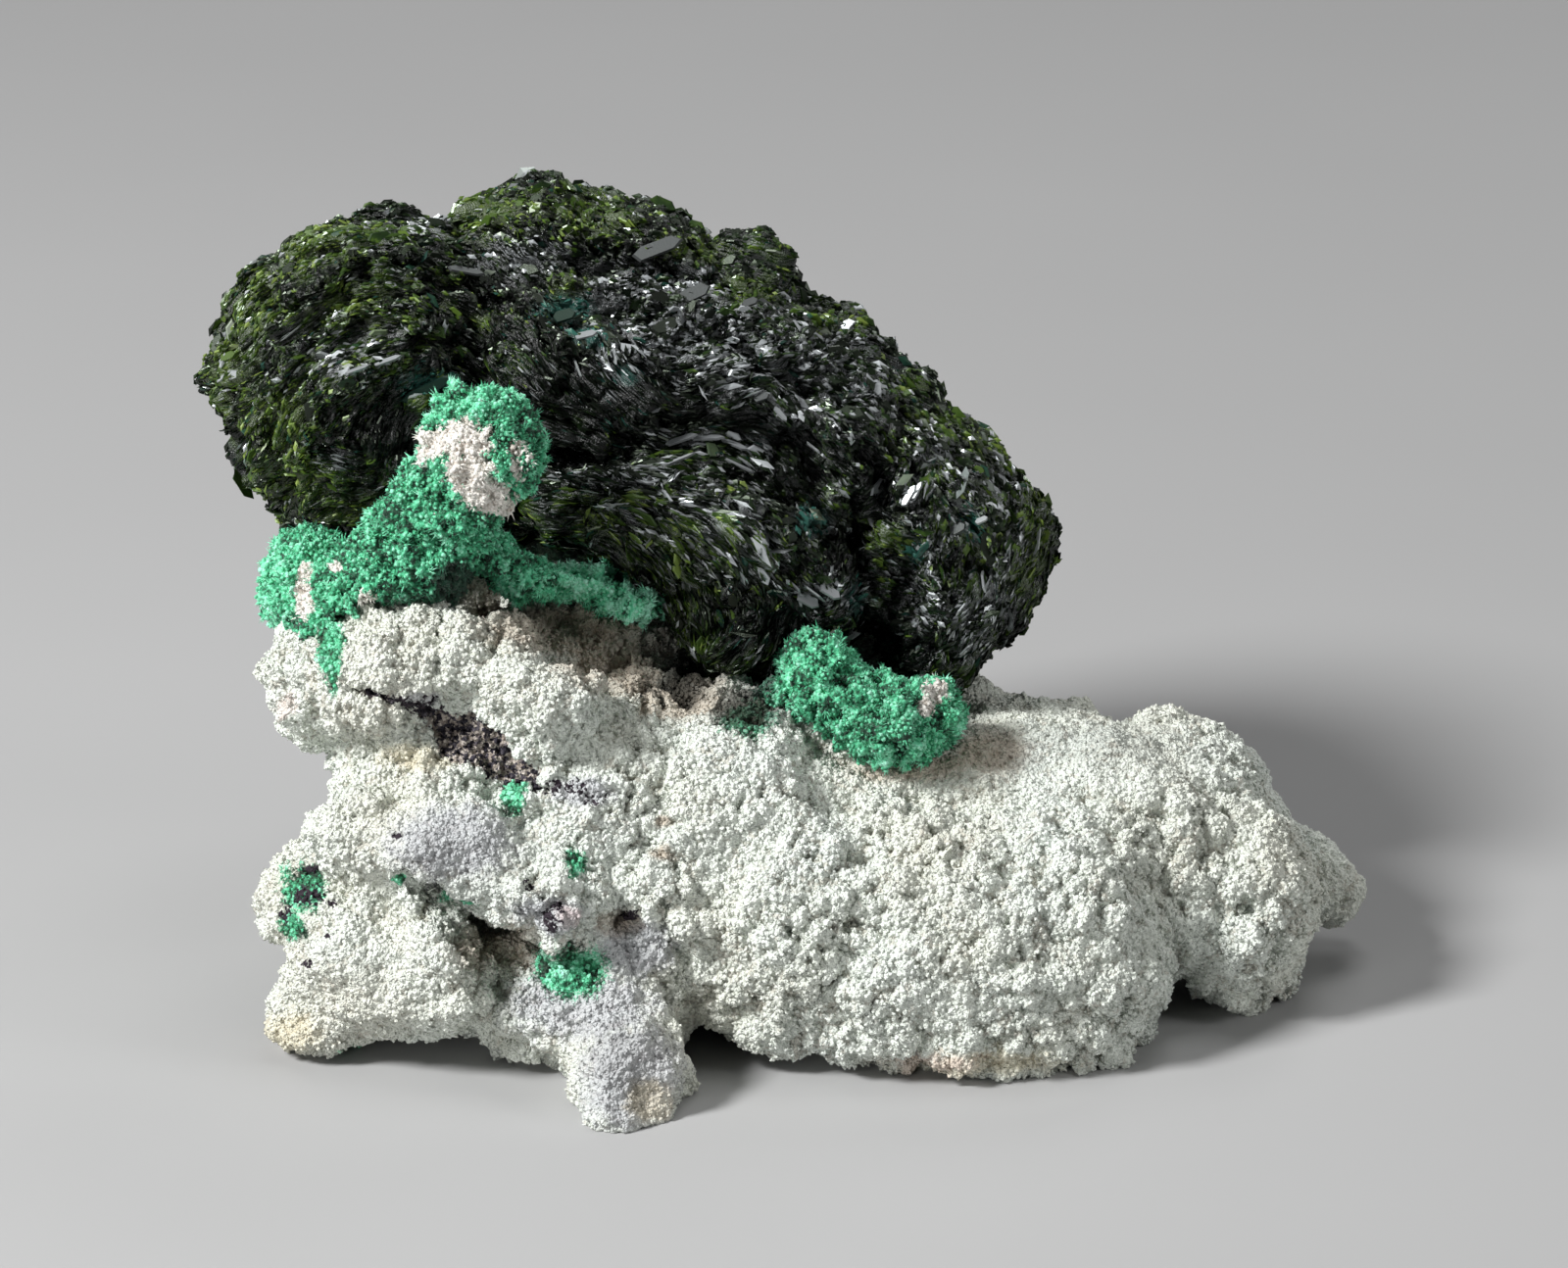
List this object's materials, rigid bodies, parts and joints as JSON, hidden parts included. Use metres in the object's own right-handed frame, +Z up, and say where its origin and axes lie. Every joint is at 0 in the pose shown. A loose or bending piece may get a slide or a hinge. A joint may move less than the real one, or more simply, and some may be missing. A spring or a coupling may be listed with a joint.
{
  "type": "volborthite specimen",
  "caption": "Hand specimen of volborthite: a curled rosette of dark green blades on green malachite crust, grown on a rugged white clay matrix that stands on worn feet.",
  "frame": {"origin": "centre of the specimen's footprint box, on the surface it stands on", "axes": "+Z up, +X to the right along the broad face, -Y out of the broad face that carries the rosette"},
  "size_m": [0.0736, 0.0518, 0.0468],
  "materials": {
    "white_clay": "chalky white clay matrix, granular and dull",
    "malachite": "bright green fibrous malachite crust, dull to silky",
    "volborthite": "dark green to green-black volborthite blades, glassy"
  },
  "bodies": {
    "root": {"clay_matrix": "white_clay", "malachite_crust": "malachite", "malachite_mound": "malachite", "volborthite_rosette": "volborthite"}
  },
  "joints": []
}
